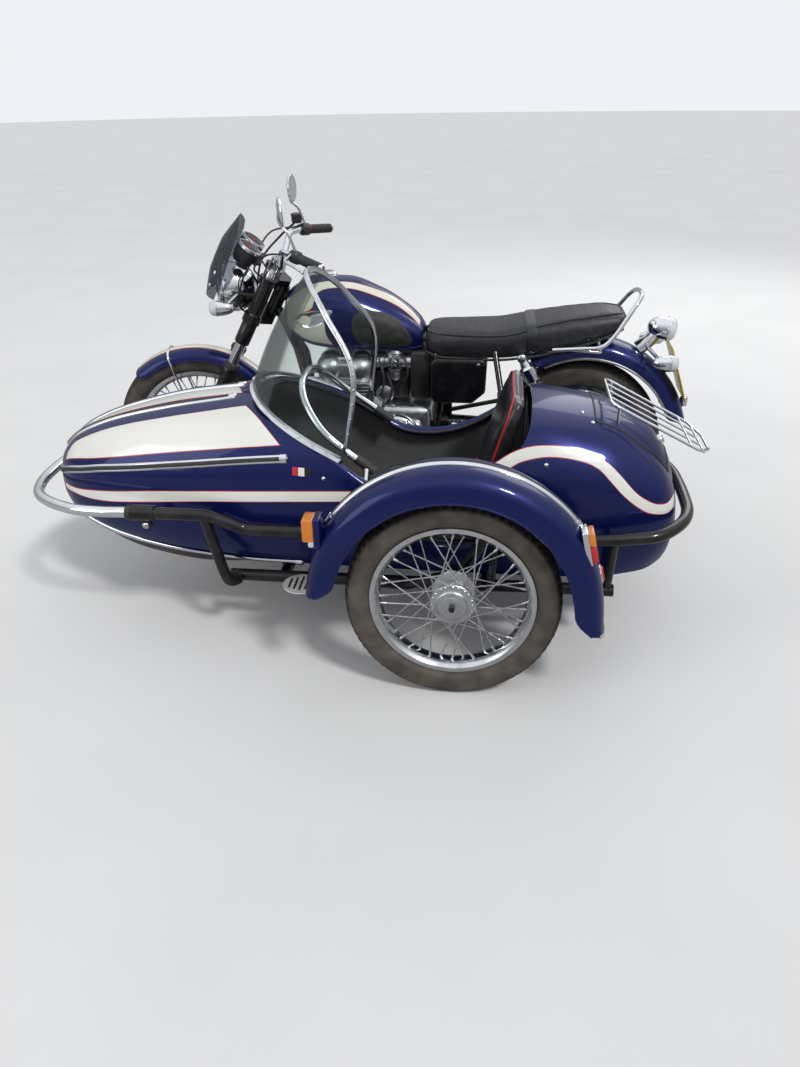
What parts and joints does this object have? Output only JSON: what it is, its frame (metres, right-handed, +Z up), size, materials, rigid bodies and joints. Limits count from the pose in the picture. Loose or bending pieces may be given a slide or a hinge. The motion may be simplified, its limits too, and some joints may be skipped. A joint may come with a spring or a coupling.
{
  "type": "sidecar motorcycle",
  "caption": "Twin-cylinder roadster with a single-seat sidecar: steering, three spoked wheels and a boot lid with a rack move.",
  "frame": {"origin": "on the ground under the middle of the outfit's box", "axes": "+X forward, +Y towards the sidecar (the rider's left), +Z up"},
  "size_m": [2.2401, 1.6333, 1.276],
  "materials": {
    "deep_blue_paint": "metallic gloss lacquer",
    "white_paint": "gloss",
    "black_paint": "gloss",
    "chrome": "polished",
    "alloy": "polished and brushed",
    "engine_alloy": "satin cast",
    "bright_steel": "plated",
    "tyre_rubber": "matt",
    "black_rubber": "matt",
    "black_vinyl": "grained vinyl",
    "grey_carpet": "short pile",
    "clear_sheet": "clear acrylic",
    "smoked_sheet": "smoked acrylic",
    "amber_lens": "ribbed lens",
    "red_lens": "ribbed lens",
    "black_plastic": "satin",
    "plate_yellow": "satin"
  },
  "bodies": {
    "root": {"motorcycle_frame": "black_paint", "engine_cases": "engine_alloy", "cylinder_block": "engine_alloy", "carburettors": "engine_alloy", "exhausts": "chrome", "fuel_tank": "deep_blue_paint", "dual_seat": "black_vinyl", "side_panels": "black_paint", "swinging_arm": "black_paint", "rear_shocks": "chrome", "drive_chain": "bright_steel", "rear_mudguard": "deep_blue_paint", "grab_rail": "chrome", "tail_lamp": "chrome", "rear_indicators": "chrome", "number_plate": "plate_yellow", "footrests": "black_rubber", "sidecar_chassis": "black_paint", "sidecar_struts": "black_paint", "wheel_arm": "black_paint", "sidecar_body": "deep_blue_paint", "floor_mat": "grey_carpet", "keel_pan": "deep_blue_paint", "windscreen": "clear_sheet", "windscreen_rim": "alloy", "grab_hoop": "chrome", "sidecar_seat": "black_vinyl", "sidecar_backrest": "black_vinyl", "sidecar_mudguard": "deep_blue_paint", "sidecar_lamps": "amber_lens", "front_hoop": "chrome", "side_bar": "black_paint", "step_plate": "alloy"},
    "steering": {"front_fork": "alloy", "fork_yokes": "black_paint", "handlebar": "chrome", "hand_controls": "black_rubber", "mirrors": "chrome", "headlight": "chrome", "lamp_brackets": "black_paint", "front_indicators": "chrome", "instruments": "black_plastic", "fly_screen": "smoked_sheet", "front_mudguard": "deep_blue_paint", "front_brake_hose": "black_rubber"},
    "front_wheel_body": {"front_wheel": "alloy", "front_tyre": "tyre_rubber"},
    "rear_wheel_body": {"rear_wheel": "alloy", "rear_tyre": "tyre_rubber"},
    "sidecar_wheel_body": {"sidecar_wheel": "alloy", "sidecar_tyre": "tyre_rubber"},
    "boot_lid_body": {"boot_lid": "deep_blue_paint", "luggage_rack": "chrome"}
  },
  "joints": [
    {"name": "steering_turn", "type": "hinge", "parent": "root", "child": "steering", "pos_m": [0.901, -0.475, 0], "axis": [-0.4695, 0, 0.8829], "range_deg": [-43, 27]},
    {"name": "front_wheel_spin", "type": "hinge", "parent": "steering", "child": "front_wheel_body", "pos_m": [0.7905, -0.46688, 0.33093], "axis": [-0.1229, 0.9903, -0.0653], "continuous": true},
    {"name": "rear_wheel_spin", "type": "hinge", "parent": "root", "child": "rear_wheel_body", "pos_m": [-0.709, -0.475, 0.32], "axis": [0, 1, 0], "continuous": true},
    {"name": "sidecar_wheel_spin", "type": "hinge", "parent": "root", "child": "sidecar_wheel_body", "pos_m": [-0.294, 0.73, 0.304], "axis": [0, 1, 0], "continuous": true},
    {"name": "boot_lid_swing", "type": "hinge", "parent": "root", "child": "boot_lid_body", "pos_m": [-0.686, 0.225, 0.738], "axis": [0, 1, 0], "range_deg": [0, 72]}
  ]
}
